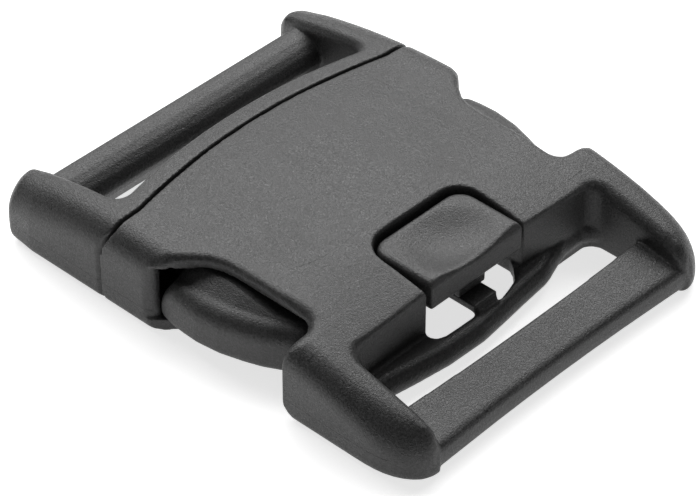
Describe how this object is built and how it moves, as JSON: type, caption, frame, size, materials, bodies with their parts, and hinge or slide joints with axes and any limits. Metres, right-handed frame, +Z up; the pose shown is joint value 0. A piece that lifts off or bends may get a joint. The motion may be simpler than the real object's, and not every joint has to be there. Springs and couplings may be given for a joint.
{
  "type": "side release buckle",
  "caption": "Fastened side-release buckle for wide webbing, with a plug half, a socket half and a dimpled centre lock button.",
  "frame": {"origin": "centre of the buckle's underside, midway along its length and width", "axes": "+X along the webbing towards the socket's web bar, +Y across the webbing, +Z up out of the underside"},
  "size_m": [0.0834, 0.066, 0.0145],
  "materials": {
    "socket": "fine grained charcoal moulding",
    "plug": "fine grained charcoal moulding",
    "lock_button": "fine grained charcoal moulding"
  },
  "bodies": {
    "root": {"socket": "socket", "plug": "plug", "lock_button": "lock_button"}
  },
  "joints": []
}
